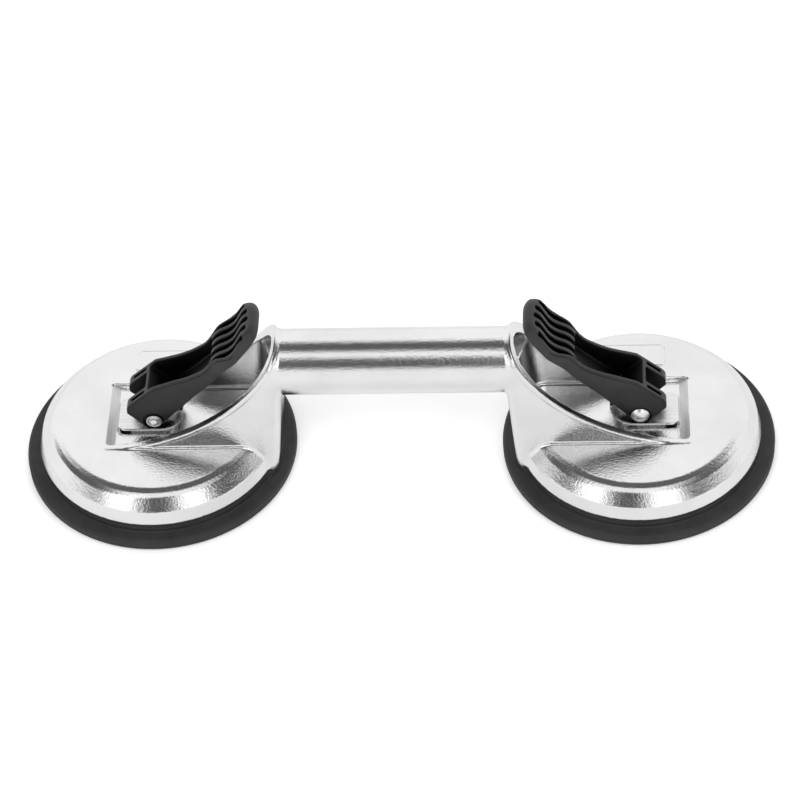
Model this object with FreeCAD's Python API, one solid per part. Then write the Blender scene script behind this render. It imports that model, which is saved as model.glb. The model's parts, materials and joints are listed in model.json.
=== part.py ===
import FreeCAD, Part
import math
import os

# Double suction cup lifter. X runs along the handle, the front is -Y, Z is up.
# The origin lies midway between the cups, on the surface that the lips stand on.
# Each cup is drawn about its own centre with x pointing away from the handle,
# then placed at both ends, the left one turned half a turn about Z.

Vec = FreeCAD.Vector
axis_x = Vec(1, 0, 0)
axis_y = Vec(0, 1, 0)
axis_z = Vec(0, 0, 1)

# Overall layout
cup_spacing = 208.0
rubber_radius = 59.0

# Rubber cup
rubber_rim_height = 5.6
rubber_centre_height = 4.4
rubber_lip_width = 6.0
rubber_hollow_depth = 0.6
rubber_edge_radius = 1.2

# Steel disc and stud moulded into the rubber
insert_radius = 36.0
insert_thickness = 2.0
stud_head_radius = 7.0
stud_head_thickness = 1.1
stud_radius = 2.5
stud_top = 17.0

# Cast cover over each cup
skirt_radius = 52.4
skirt_flare = 0.6
skirt_height = 4.8
shoulder_radius = 49.9
shoulder_height = 13.6
step_radius = 46.6
step_height = 20.4
deck_radius = 44.3
deck_height = 22.2
deck_thickness = 3.0
skirt_wall = 2.6
rib_count = 8
rib_thickness = 2.0
rib_depth = 2.0
rib_inner_radius = 30.0

# Housing that rises from each cover to the handle
housing_half_width = 20.0
housing_outer_end = 21.6
housing_inner_end = 54.6
housing_corner_radius = 9.0
housing_arch_radius = 15.9
housing_wall = 2.3
rim_radius = 84.0
rim_start_angle = 2.0
rim_start_drop = 0.4
rim_start_inset = 1.1
bead_height = 2.0
bead_proud = 0.5
pocket_depth = 2.0
pocket_end_wall = 5.0
pocket_corner_radius = 11.0
pocket_ramp_length = 3.6

# Handle tube
handle_radius = 14.2
handle_axis_height = 54.2
handle_wall = 3.2

# Bare label pad on each deck
pad_height = 0.4
pad_length = 36.0
pad_width = 12.6
pad_inner_reach = 24.1
pad_offset_y = 31.3
pad_corner_radius = 3.0

# Steel wear plate under each lever
plate_thickness = 1.2
plate_half_width = 9.0
plate_outer_reach = 17.6
plate_corner_radius = 3.0
plate_rise = 1.2
plate_curl_radius = 10.2
plate_curl_start = 1.0
plate_curl_angle = 95.0

# Yoke, pin and washer
pin_offset = 0.6
pin_above_plate = 5.0
pin_radius = 2.0
pin_head_radius = 4.0
pin_head_height = 2.2
pin_head_rim = 0.5
pin_tail_proud = 1.9
pin_tail_dome = 1.2
pin_running_gap = 0.05
yoke_eye_radius = 5.4
yoke_half_thickness = 4.0
washer_radius = 3.4
washer_thickness = 0.7

# Lever, in its own frame: length runs from the pin to the tip, height across it
lever_tilt = 42.6
lever_length = 73.8
lever_end = 5.2
lever_nose_height = 13.9
lever_nose_radius = 5.0
lever_heel_radius = 4.7
lever_nose_reach = 11.2
lever_kink_place = 14.3
lever_fork_under = 2.9
lever_rail_under = 1.3
lever_rail_end = 36.0
lever_pad_under_place = 60.0
lever_pad_under_rise = 4.2
lever_tip_place = 72.0
lever_tip_rise = 5.2
lever_tip_height = 8.8
lever_waist_place = 29.0
lever_waist_height = 7.6
lever_trough_places = (38.0, 56.0)
lever_trough_heights = (5.9, 6.2)
lever_crest_places = (48.0, 66.0)
lever_crest_heights = (8.4, 9.8)
lever_fork_half_width = 9.3
lever_waist_half_width = 8.8
lever_neck_half_width = 9.6
lever_grip_half_width = 12.6
lever_fork_plan_end = 14.0
lever_waist_plan_place = 24.0
lever_neck_plan_place = 43.5
lever_grip_plan_place = 54.5
lever_wall = 1.9
lever_web_place = 9.3
lever_web_thickness = 1.7
lever_floor = 1.8
lever_grip_start = 42.5
lever_slot_end = 68.2
lever_slot_floor = 2.6
lever_slot_lag = 0.028
lever_slot_count = 5
lever_rib_thickness = 1.55
lever_counterbore_radius = 4.7
lever_counterbore_depth = 0.8
lever_leg_slot_width = 1.6
lever_leg_slot_depth = 6.0
lever_leg_slot_start = 0.6
lever_leg_slot_end = 8.6

# Clearances between pieces
moving_gap = 0.3
slot_gap = 0.5

# Worked out from the sizes above
half_spacing = cup_spacing / 2
floor_height = deck_height - pocket_depth
plate_top = floor_height + plate_rise + plate_thickness
plate_bottom = plate_top - plate_thickness
pin_height = plate_top + pin_above_plate
insert_bottom = rubber_centre_height - insert_thickness
seat_radius = skirt_radius - skirt_wall


def polygon_face(points):
    return Part.Face(Part.makePolygon(points + [points[0]]))


def rounded_face(corners, to_space):
    # Closed outline from (a, b, radius) corners, each one an arc where its radius is not zero
    count = len(corners)
    starts = []
    middles = []
    ends = []
    for index in range(count):
        before = corners[index - 1]
        here = corners[index]
        after = corners[(index + 1) % count]
        back = Vec(before[0] - here[0], before[1] - here[1], 0).normalize()
        ahead = Vec(after[0] - here[0], after[1] - here[1], 0).normalize()
        corner = Vec(here[0], here[1], 0)
        radius = here[2]
        if radius <= 0:
            starts.append(corner)
            middles.append(None)
            ends.append(corner)
            continue
        half_angle = back.getAngle(ahead) / 2
        reach = radius / math.tan(half_angle)
        bisector = (back + ahead).normalize()
        centre = corner + bisector * (radius / math.sin(half_angle))
        starts.append(corner + back * reach)
        middles.append(centre - bisector * radius)
        ends.append(corner + ahead * reach)
    edges = []
    for index in range(count):
        if middles[index] is not None:
            trio = [to_space(p.x, p.y) for p in (starts[index], middles[index], ends[index])]
            edges.append(Part.Arc(*trio).toShape())
        following = (index + 1) % count
        if ends[index].distanceToPoint(starts[following]) > 1e-6:
            first = to_space(ends[index].x, ends[index].y)
            second = to_space(starts[following].x, starts[following].y)
            edges.append(Part.LineSegment(first, second).toShape())
    return Part.Face(Part.Wire(edges))


def in_xy(a, b):
    return Vec(a, b, 0)


def in_xz(a, b):
    return Vec(a, 0, b)


def in_yz(a, b):
    return Vec(0, a, b)


def revolved(corners):
    return rounded_face(corners, in_xz).revolve(Vec(0, 0, 0), axis_z, 360)


def along_y(face, half_width):
    moved = face.copy()
    moved.translate(Vec(0, -half_width, 0))
    return moved.extrude(Vec(0, 2 * half_width, 0))


def cylinder_y(x, z, radius, low, high):
    return Part.makeCylinder(radius, high - low, Vec(x, low, z), axis_y)


def turned_half(shape):
    copy = shape.copy()
    copy.rotate(Vec(0, 0, 0), axis_z, 180)
    return copy


def at_end(shape, end):
    # The right end stands at +X, the left end is the same piece turned half a turn
    placed = shape.copy() if end == "right" else turned_half(shape)
    placed.translate(Vec(half_spacing if end == "right" else -half_spacing, 0, 0))
    return placed


def cover_profile():
    return [
        (0, rubber_rim_height, 0),
        (skirt_radius, rubber_rim_height, 0),
        (skirt_radius + skirt_flare, rubber_rim_height + skirt_height, 1.2),
        (shoulder_radius, shoulder_height, 1.0),
        (step_radius, step_height, 0.8),
        (deck_radius, deck_height, 1.4),
        (0, deck_height, 0),
    ]


def cover_hollow_profile():
    ceiling = deck_height - deck_thickness
    return [
        (0, 0, 0),
        (seat_radius, 0, 0),
        (seat_radius, rubber_rim_height + skirt_height, 1.5),
        (shoulder_radius - skirt_wall, shoulder_height, 1.0),
        (step_radius - skirt_wall, ceiling, 2.0),
        (0, ceiling, 0),
    ]


def arch_section(half_width, base, arch_radius):
    # Walls that lean in from the base and run tangent into a round arch over the handle axis
    rise = handle_axis_height - base
    span = math.hypot(half_width, rise)
    lean = math.atan2(half_width, rise)
    tangent = math.acos(arch_radius / span)
    angle = tangent + lean - math.pi / 2
    touch_y = arch_radius * math.cos(angle)
    touch_z = handle_axis_height + arch_radius * math.sin(angle)
    top = handle_axis_height + arch_radius
    edges = [
        Part.LineSegment(in_yz(-half_width, base), in_yz(half_width, base)).toShape(),
        Part.LineSegment(in_yz(half_width, base), in_yz(touch_y, touch_z)).toShape(),
        Part.Arc(in_yz(touch_y, touch_z), in_yz(0, top), in_yz(-touch_y, touch_z)).toShape(),
        Part.LineSegment(in_yz(-touch_y, touch_z), in_yz(-half_width, base)).toShape(),
    ]
    return Part.Face(Part.Wire(edges))


def arch_block(half_width, base, arch_radius, inner_end, outer_end, corner_radius):
    # The arch section drawn out along x, rounded all round its end by the handle
    section = arch_section(half_width, base, arch_radius)
    section.translate(Vec(-inner_end, 0, 0))
    block = section.extrude(Vec(inner_end + outer_end, 0, 0))
    rounded = []
    for edge in block.Edges:
        box = edge.BoundBox
        on_end = abs(box.XMin + inner_end) < 1e-6 and abs(box.XMax + inner_end) < 1e-6
        if on_end and box.ZMax > base + 1e-6:
            rounded.append(edge)
    return block.makeFillet(corner_radius, rounded)


def rim_cylinder(extra):
    # The concave sweep of the housing's rim, tangent to the deck at its outer end
    start = math.radians(rim_start_angle)
    centre_x = housing_outer_end - rim_start_inset + rim_radius * math.sin(start)
    centre_z = deck_height - rim_start_drop + rim_radius * math.cos(start)
    reach = 3 * housing_half_width
    return cylinder_y(centre_x, centre_z, rim_radius + extra, -reach, reach)


def room_below(height):
    # Everything near one cup that lies lower than a height
    reach = 2 * rubber_radius
    return Part.makeBox(2 * reach, 2 * reach, reach, Vec(-reach, -reach, height - reach))


def housing_slope():
    # How far the wall leans in for each millimetre of height
    return (housing_half_width - housing_arch_radius) / (handle_axis_height - deck_height)


def cast_end():
    cover = revolved(cover_profile())
    spread = housing_half_width + housing_slope() * (deck_height - rubber_rim_height)
    housing = arch_block(spread, rubber_rim_height, housing_arch_radius,
                         housing_inner_end, housing_outer_end, housing_corner_radius)
    bead = arch_block(spread + bead_proud, rubber_rim_height, housing_arch_radius + bead_proud,
                      housing_inner_end, housing_outer_end, housing_corner_radius)
    bead = bead.common(rim_cylinder(bead_height))
    bead = bead.cut(room_below(deck_height))
    housing = housing.fuse(bead).cut(rim_cylinder(0))
    return cover.fuse(housing).removeSplitter()


def pocket_tool():
    half_width = housing_half_width - housing_wall + housing_slope() * pocket_depth
    pocket = arch_block(half_width, floor_height, housing_arch_radius - housing_wall,
                        housing_inner_end - pocket_end_wall, housing_outer_end, pocket_corner_radius)
    ramp = polygon_face([
        Vec(housing_outer_end - pocket_ramp_length, 0, floor_height - 1),
        Vec(housing_outer_end - pocket_ramp_length, 0, floor_height),
        Vec(housing_outer_end, 0, deck_height),
        Vec(housing_outer_end + 1, 0, deck_height),
        Vec(housing_outer_end + 1, 0, floor_height - 1),
    ])
    return pocket.cut(along_y(ramp, 2 * housing_half_width))


def yoke_slot(gap, bottom, top):
    half_x = yoke_eye_radius + gap
    half_y = yoke_half_thickness + gap
    box = Part.makeBox(2 * half_x, 2 * half_y, top - bottom,
                       Vec(pin_offset - half_x, -half_y, bottom))
    return box


def floor_slab():
    # The deck is carried down under the pocket so that its floor keeps the full thickness
    length = deck_radius + housing_outer_end - 2
    width = 2 * (housing_half_width + 1)
    low = floor_height - deck_thickness
    return Part.makeBox(length, width, deck_thickness,
                        Vec(-deck_radius + 2, -width / 2, low))


def plate_seat():
    # Low cast pad that carries the wear plate round the yoke's slot
    half_x = yoke_eye_radius + slot_gap + 3
    return Part.makeBox(2 * half_x, 2 * (plate_half_width - 1.5), plate_bottom - floor_height + 0.5,
                        Vec(pin_offset - half_x + 2, -plate_half_width + 1.5, floor_height - 0.5))


def deck_ribs():
    ribs = []
    low = deck_height - deck_thickness - rib_depth
    for index in range(rib_count):
        rib = Part.makeBox(step_radius - rib_inner_radius - 1, rib_thickness, rib_depth + 0.5,
                           Vec(rib_inner_radius, -rib_thickness / 2, low))
        rib.rotate(Vec(0, 0, 0), axis_z, (index + 0.5) * 360 / rib_count)
        ribs.append(rib)
    return ribs


def label_pad():
    half_y = pad_width / 2
    plan = rounded_face([
        (-pad_inner_reach, pad_offset_y - half_y, pad_corner_radius),
        (pad_length - pad_inner_reach, pad_offset_y - half_y, pad_corner_radius),
        (pad_length - pad_inner_reach, pad_offset_y + half_y, pad_corner_radius),
        (-pad_inner_reach, pad_offset_y + half_y, pad_corner_radius),
    ], in_xy)
    plan.translate(Vec(0, 0, deck_height - 0.5))
    return plan.extrude(Vec(0, 0, pad_height + 0.5))


def cast_body():
    hollow = revolved(cover_hollow_profile())
    end = cast_end().cut(hollow)
    end = end.fuse([floor_slab()] + deck_ribs())
    end = end.cut(pocket_tool())
    end = end.fuse(plate_seat())
    end = end.cut(yoke_slot(slot_gap, 0, handle_axis_height))
    right = at_end(end, "right")
    left = at_end(end, "left")
    # Both pads lie on the back of the decks, mirrored about the middle of the handle
    right_pad = label_pad()
    right_pad.translate(Vec(half_spacing, 0, 0))
    left_pad = label_pad().mirror(Vec(0, 0, 0), axis_x)
    left_pad.translate(Vec(-half_spacing, 0, 0))
    reach = half_spacing - housing_inner_end
    tube = Part.makeCylinder(handle_radius, 2 * (reach + 1), Vec(-reach - 1, 0, handle_axis_height), axis_x)
    body = right.fuse([left, tube, right_pad, left_pad])
    bore_reach = half_spacing - housing_inner_end + pocket_end_wall + 1
    bore = Part.makeCylinder(handle_radius - handle_wall, 2 * bore_reach,
                             Vec(-bore_reach, 0, handle_axis_height), axis_x)
    return body.cut(bore).removeSplitter()


def rubber_cup():
    lip_inner = rubber_radius - rubber_lip_width
    recess = insert_radius + moving_gap
    head_recess = stud_head_radius + moving_gap
    return revolved([
        (0, rubber_hollow_depth, 0),
        (lip_inner - 1.5, rubber_hollow_depth, 0),
        (lip_inner, 0, 0),
        (rubber_radius, 0, rubber_edge_radius),
        (rubber_radius, rubber_rim_height, rubber_edge_radius),
        (seat_radius - 0.6, rubber_rim_height, 0),
        (seat_radius - 1.2, rubber_centre_height, 0),
        (recess, rubber_centre_height, 0),
        (recess, insert_bottom, 0),
        (head_recess, insert_bottom, 0),
        (head_recess, insert_bottom - stud_head_thickness, 0),
        (0, insert_bottom - stud_head_thickness, 0),
    ])


def insert_disc():
    return revolved([
        (stud_radius, insert_bottom, 0),
        (insert_radius, insert_bottom, 0.4),
        (insert_radius, rubber_centre_height, 0.4),
        (stud_radius, rubber_centre_height, 0),
    ])


def cup_stud():
    return revolved([
        (0, insert_bottom - stud_head_thickness, 0),
        (stud_head_radius, insert_bottom - stud_head_thickness, 0.3),
        (stud_head_radius, insert_bottom, 0.3),
        (stud_radius, insert_bottom, 0),
        (stud_radius, stud_top, 0.5),
        (0, stud_top, 0),
    ])


def yoke():
    face = rounded_face([
        (pin_offset - yoke_eye_radius, rubber_centre_height, 0),
        (pin_offset + yoke_eye_radius, rubber_centre_height, 0),
        (pin_offset + yoke_eye_radius, pin_height + yoke_eye_radius, yoke_eye_radius - 0.01),
        (pin_offset - yoke_eye_radius, pin_height + yoke_eye_radius, yoke_eye_radius - 0.01),
    ], in_xz)
    bar = along_y(face, yoke_half_thickness)
    tapped = Part.makeCylinder(stud_radius, stud_top + 0.6, Vec(0, 0, 0), axis_z)
    eye = cylinder_y(pin_offset, pin_height, pin_radius, -yoke_half_thickness, yoke_half_thickness)
    return bar.cut([tapped, eye])


def wear_plate():
    # Flat sheet that turns down at its outer end and curls up round the lever's heel
    centre = Vec(-plate_curl_start, 0, plate_top + plate_curl_radius)
    end_angle = math.radians(270 - plate_curl_angle)
    mid_angle = math.radians(270 - plate_curl_angle / 2)

    def on_curl(radius, angle):
        return centre + Vec(radius * math.cos(angle), 0, radius * math.sin(angle))

    outer = plate_curl_radius + plate_thickness
    foot = plate_outer_reach
    inner_bend = 0.6
    outer_bend = inner_bend + plate_thickness
    root = math.sqrt(0.5)
    top_points = [Vec(-plate_curl_start, 0, plate_top), Vec(foot - outer_bend, 0, plate_top)]
    bend_centre = Vec(foot - outer_bend, 0, plate_top - outer_bend)
    edges = [
        Part.LineSegment(top_points[0], top_points[1]).toShape(),
        Part.Arc(top_points[1], bend_centre + Vec(outer_bend * root, 0, outer_bend * root),
                 bend_centre + Vec(outer_bend, 0, 0)).toShape(),
        Part.LineSegment(bend_centre + Vec(outer_bend, 0, 0), Vec(foot, 0, floor_height)).toShape(),
        Part.LineSegment(Vec(foot, 0, floor_height), Vec(foot - plate_thickness, 0, floor_height)).toShape(),
        Part.LineSegment(Vec(foot - plate_thickness, 0, floor_height),
                         bend_centre + Vec(inner_bend, 0, 0)).toShape(),
        Part.Arc(bend_centre + Vec(inner_bend, 0, 0),
                 bend_centre + Vec(inner_bend * root, 0, inner_bend * root),
                 bend_centre + Vec(0, 0, inner_bend)).toShape(),
        Part.LineSegment(bend_centre + Vec(0, 0, inner_bend),
                         Vec(-plate_curl_start, 0, plate_bottom)).toShape(),
        Part.Arc(Vec(-plate_curl_start, 0, plate_bottom), on_curl(outer, mid_angle),
                 on_curl(outer, end_angle)).toShape(),
        Part.LineSegment(on_curl(outer, end_angle), on_curl(plate_curl_radius, end_angle)).toShape(),
        Part.Arc(on_curl(plate_curl_radius, end_angle), on_curl(plate_curl_radius, mid_angle),
                 top_points[0]).toShape(),
    ]
    sheet = along_y(Part.Face(Part.Wire(edges)), plate_half_width)
    reach = 3 * plate_curl_radius
    outline = rounded_face([
        (-reach, -plate_half_width, 0),
        (foot, -plate_half_width, plate_corner_radius),
        (foot, plate_half_width, plate_corner_radius),
        (-reach, plate_half_width, 0),
    ], in_xy)
    sheet = sheet.common(outline.extrude(Vec(0, 0, 2 * handle_axis_height)))
    return sheet.cut(yoke_slot(slot_gap, 0, plate_top + 3))


def lever_space(length, height):
    # From the lever's own frame to the cup's x and z
    tilt = math.radians(lever_tilt)
    x = pin_offset - length * math.cos(tilt) + height * math.sin(tilt)
    z = pin_height + length * math.sin(tilt) + height * math.cos(tilt)
    return Vec(x, 0, z)


def lever_outline():
    # Side view: fork block with its cam nose, falling waist, then the finger waves to the tip
    tilt = math.radians(lever_tilt)
    nose_start = (lever_nose_reach - lever_nose_height * math.sin(tilt)) / math.cos(tilt)
    chin = (lever_nose_reach - lever_end * math.cos(tilt)) / math.sin(tilt)
    return [
        (-lever_end, -lever_heel_radius, lever_heel_radius),
        (lever_web_place, -lever_fork_under, 20.0),
        (lever_rail_end, -lever_rail_under, 40.0),
        (lever_pad_under_place, lever_pad_under_rise, 40.0),
        (lever_tip_place, lever_tip_rise, 3.0),
        (lever_length, lever_tip_height, 1.6),
        (lever_crest_places[1], lever_crest_heights[1], 5.0),
        (lever_trough_places[1], lever_trough_heights[1], 6.0),
        (lever_crest_places[0], lever_crest_heights[0], 5.0),
        (lever_trough_places[0], lever_trough_heights[0], 8.0),
        (lever_waist_place, lever_waist_height, 20.0),
        (lever_kink_place, lever_nose_height, 1.5),
        (-nose_start, lever_nose_height, lever_nose_radius),
        (-lever_end, chin, 1.5),
    ]


def lever_plan(inset):
    # Outline seen square to the rails: fork, slim waist, wide grip and a full round tip
    side = [
        (-lever_end - 1, lever_fork_half_width, 0),
        (lever_fork_plan_end, lever_fork_half_width, 20.0),
        (lever_waist_plan_place, lever_waist_half_width, 30.0),
        (lever_neck_plan_place, lever_neck_half_width, 25.0),
        (lever_grip_plan_place, lever_grip_half_width, 12.0),
        (lever_length, lever_grip_half_width, lever_grip_half_width - 0.1),
    ]
    near = []
    far = []
    for index, (place, half_width, radius) in enumerate(side):
        last = index == len(side) - 1
        end = place - inset if last else place
        corner = radius - inset if last else radius
        near.append((end, inset - half_width, corner))
        far.append((end, half_width - inset, corner))
    return near + far[::-1]


def lever_prism(corners, low, high):
    # A plan outline drawn out across the lever between two heights
    tilt = math.radians(lever_tilt)
    along = Vec(-math.cos(tilt), 0, math.sin(tilt))
    across = Vec(math.sin(tilt), 0, math.cos(tilt))
    origin = Vec(pin_offset, 0, pin_height)

    def to_space(length, side):
        return origin + along * length + axis_y * side + across * low

    return rounded_face(corners, to_space).extrude(across * (high - low))


def lever_block(start, end, half_width, low, high, shift=0.0):
    corners = [
        (start, shift - half_width, 0),
        (end, shift - half_width, 0),
        (end, shift + half_width, 0),
        (start, shift + half_width, 0),
    ]
    return lever_prism(corners, low, high)


def lever():
    top = 2 * lever_nose_height
    body = along_y(rounded_face(lever_outline(), lever_space), lever_grip_half_width + 1)
    body = body.common(lever_prism(lever_plan(0), -top, top))
    leg_inner = yoke_half_thickness + moving_gap
    fork_gap = lever_block(-lever_end - 2, lever_web_place, leg_inner, -top, top)
    hollow = lever_prism(lever_plan(lever_wall), -lever_rail_under + lever_floor, top)
    hollow = hollow.common(lever_block(lever_web_place + lever_web_thickness, lever_grip_start,
                                       lever_grip_half_width, -top, top))
    cuts = [fork_gap, hollow]
    slot_zone = 2 * (lever_grip_half_width - lever_wall)
    pitch = (slot_zone + lever_rib_thickness) / lever_slot_count
    slot_half = (pitch - lever_rib_thickness) / 2
    for index in range(lever_slot_count):
        offset = (index - (lever_slot_count - 1) / 2) * pitch
        end = lever_slot_end - lever_slot_lag * offset * offset
        slot = lever_block(lever_grip_start - 0.5, end, slot_half, lever_slot_floor, top, offset)
        cuts.append(slot)
    for side in (-1, 1):
        middle = side * (leg_inner + lever_fork_half_width) / 2
        cuts.append(lever_block(lever_leg_slot_start, lever_leg_slot_end, lever_leg_slot_width / 2,
                                lever_nose_height - lever_leg_slot_depth, top, middle))
    bore_radius = pin_radius + pin_running_gap
    reach = lever_grip_half_width
    cuts.append(cylinder_y(pin_offset, pin_height, bore_radius, -reach, reach))
    recess_face = lever_fork_half_width - lever_counterbore_depth
    cuts.append(cylinder_y(pin_offset, pin_height, lever_counterbore_radius, -reach, -recess_face))
    cuts.append(cylinder_y(pin_offset, pin_height, lever_counterbore_radius, recess_face, reach))
    return body.cut(cuts)


def dome_cap(radius, height, place, heading):
    # Spherical cap of a given rim radius and height, its rim at place along y
    sphere_radius = (radius * radius + height * height) / (2 * height)
    centre = place + heading * (height - sphere_radius)
    ball = Part.makeSphere(sphere_radius, Vec(0, centre, 0), axis_y)
    low = min(place, place + heading * 2 * height)
    return ball.common(cylinder_y(0, 0, radius + 1, low, low + 2 * height))


def pivot_pin():
    # Domed head on one cheek, shank through fork and yoke, domed tail beyond the washer
    seat = lever_fork_half_width - lever_counterbore_depth + moving_gap
    tail = seat + washer_thickness + pin_tail_proud - pin_tail_dome
    shank = cylinder_y(0, 0, pin_radius, -seat, tail)
    head = cylinder_y(0, 0, pin_head_radius, -seat - pin_head_rim, -seat)
    head_dome = dome_cap(pin_head_radius, pin_head_height - pin_head_rim, -seat - pin_head_rim, -1)
    tail_dome = dome_cap(pin_radius, pin_tail_dome, tail, 1)
    shape = shank.fuse([head, head_dome, tail_dome]).removeSplitter()
    shape.translate(Vec(pin_offset, 0, pin_height))
    return shape


def pin_washer():
    seat = lever_fork_half_width - lever_counterbore_depth + moving_gap
    ring = cylinder_y(pin_offset, pin_height, washer_radius, seat, seat + washer_thickness)
    hole = cylinder_y(pin_offset, pin_height, pin_radius, seat - 1, seat + washer_thickness + 1)
    return ring.cut(hole)


def export(name, shape):
    solids = shape.Solids
    result = solids[0] if len(solids) == 1 else Part.makeCompound(solids)
    result.exportStep("parts/" + name + ".step")
    box = result.BoundBox
    print("%-20s solids %d valid %s volume %9.1f  z %.2f..%.2f" % (
        name, len(solids), result.isValid(), result.Volume, box.ZMin, box.ZMax))


os.makedirs("parts", exist_ok=True)
export("cast_body", cast_body())
end_pieces = {
    "rubber_cup": rubber_cup(),
    "insert_disc": insert_disc(),
    "cup_stud": cup_stud(),
    "yoke": yoke(),
    "wear_plate": wear_plate(),
    "lever": lever(),
    "pivot_pin": pivot_pin(),
    "pin_washer": pin_washer(),
}
for end_name in ("right", "left"):
    for piece_name, piece in end_pieces.items():
        export(end_name + "_" + piece_name, at_end(piece, end_name))
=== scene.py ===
import bpy
import bmesh
import itertools
from functools import partial
import json
import math
import numpy as np
from mathutils import Vector, Matrix


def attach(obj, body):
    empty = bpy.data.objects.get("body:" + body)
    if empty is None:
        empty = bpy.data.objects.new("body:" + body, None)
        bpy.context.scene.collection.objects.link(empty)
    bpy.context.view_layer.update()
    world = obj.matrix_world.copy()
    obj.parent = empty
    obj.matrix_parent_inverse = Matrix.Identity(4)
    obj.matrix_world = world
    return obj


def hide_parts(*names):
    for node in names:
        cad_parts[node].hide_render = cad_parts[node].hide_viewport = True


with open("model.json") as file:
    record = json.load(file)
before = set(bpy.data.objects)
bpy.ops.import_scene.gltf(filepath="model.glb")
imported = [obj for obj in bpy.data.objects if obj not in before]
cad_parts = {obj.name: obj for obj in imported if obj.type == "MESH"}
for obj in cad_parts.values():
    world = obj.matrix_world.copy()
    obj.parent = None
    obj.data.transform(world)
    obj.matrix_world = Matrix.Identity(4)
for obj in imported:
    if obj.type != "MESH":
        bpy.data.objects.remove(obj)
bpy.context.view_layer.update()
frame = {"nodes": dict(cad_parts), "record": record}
print("frame loaded", len(frame["nodes"]), "nodes")

ends = {"right": 1, "left": -1}
millimetre = 0.001

# Camera

cameraSet = {
    "azimuth": 5.01,          # degrees round Z, 0 looks along +Y
    "elevation": 46.94,
    "roll": -4.34,
    "distance": 1.4985,       # metres to the aim point
    "aim": (0.00144, 0.0, 0.02929),
    "lens": 156.5,            # mm
    "sensor": 36,
    "clip": (0.05, 20),
}


def addCamera():
    azimuth = math.radians(cameraSet["azimuth"])
    elevation = math.radians(cameraSet["elevation"])
    roll = math.radians(cameraSet["roll"])
    back = Vector((math.sin(azimuth) * math.cos(elevation),
                   -math.cos(azimuth) * math.cos(elevation), math.sin(elevation)))
    right = (-back).cross(Vector((0, 0, 1))).normalized()
    up = right.cross(-back)
    turnedRight = right * math.cos(roll) + up * math.sin(roll)
    turnedUp = up * math.cos(roll) - right * math.sin(roll)
    data = bpy.data.cameras.new("camera")
    data.lens = cameraSet["lens"]
    data.sensor_width = cameraSet["sensor"]
    data.clip_start, data.clip_end = cameraSet["clip"]
    camera = bpy.data.objects.new("camera", data)
    rotation = Matrix((turnedRight, turnedUp, back)).transposed()
    place = Vector(cameraSet["aim"]) + back * cameraSet["distance"]
    camera.matrix_world = Matrix.Translation(place) @ rotation.to_4x4()
    bpy.context.scene.collection.objects.link(camera)
    bpy.context.scene.camera = camera


# Materials

def newMaterial(name):
    material = bpy.data.materials.new(name)
    material.use_nodes = True
    tree = material.node_tree
    return material, tree, tree.nodes["Principled BSDF"]


def addNode(tree, kind, **settings):
    node = tree.nodes.new(kind)
    for key, value in settings.items():
        setattr(node, key, value)
    return node


def setInputs(node, **values):
    for key, value in values.items():
        node.inputs[key].default_value = value
    return node


def objectPoint(tree):
    return addNode(tree, "ShaderNodeTexCoord").outputs["Object"]


def mathNode(tree, operation, *values):
    # Each value is the output of another node, or a number
    node = addNode(tree, "ShaderNodeMath", operation=operation)
    for socket, value in zip(node.inputs, values):
        if isinstance(value, (int, float)):
            socket.default_value = value
        else:
            tree.links.new(value, socket)
    return node.outputs[0]


def noise(tree, scale, detail, stretch=None, roughness=0.55):
    texture = addNode(tree, "ShaderNodeTexNoise")
    setInputs(texture, Scale=scale, Detail=detail, Roughness=roughness)
    point = objectPoint(tree)
    if stretch:
        mapping = addNode(tree, "ShaderNodeMapping")
        mapping.inputs["Scale"].default_value = stretch
        tree.links.new(point, mapping.inputs["Vector"])
        point = mapping.outputs["Vector"]
    tree.links.new(point, texture.inputs["Vector"])
    return texture.outputs["Fac"]


def ramp(tree, value, stops):
    node = addNode(tree, "ShaderNodeValToRGB")
    for element, (place, colour) in zip(node.color_ramp.elements, stops):
        element.position = place
        element.color = (*colour, 1)
    tree.links.new(value, node.inputs["Fac"])
    return node.outputs["Color"]


def spread(tree, value, low, high):
    node = addNode(tree, "ShaderNodeMapRange")
    node.inputs["To Min"].default_value = low
    node.inputs["To Max"].default_value = high
    tree.links.new(value, node.inputs["Value"])
    return node.outputs["Result"]


def bump(tree, shader, height, strength, depth, under=None):
    # Roughens what lies under it, where there is something
    node = setInputs(addNode(tree, "ShaderNodeBump"), Strength=strength, Distance=depth)
    tree.links.new(height, node.inputs["Height"])
    if under:
        tree.links.new(under.outputs["Normal"], node.inputs["Normal"])
    tree.links.new(node.outputs["Normal"], shader.inputs["Normal"])
    return node


def tintStops(look):
    low, high = look["stops"]
    return [(low, look["dark"]), (high, look["light"])]


def tint(tree, shader, value, look):
    tree.links.new(ramp(tree, value, tintStops(look)), shader.inputs["Base Color"])


def wear(tree, shader, look):
    worn = noise(tree, *look["wear"])
    tree.links.new(spread(tree, worn, *look["roughness"]), shader.inputs["Roughness"])


def nearPlace(tree, place):
    # One inside a box that lies at both ends of the object, and nothing outside it
    spot = addNode(tree, "ShaderNodeSeparateXYZ")
    tree.links.new(objectPoint(tree), spot.inputs[0])
    share = None
    for axis, middle, reach in place:
        away = mathNode(tree, "ABSOLUTE", spot.outputs[axis])
        near = mathNode(tree, "COMPARE", away, middle, reach)
        share = near if share is None else mathNode(tree, "MULTIPLY", share, near)
    return share


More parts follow.
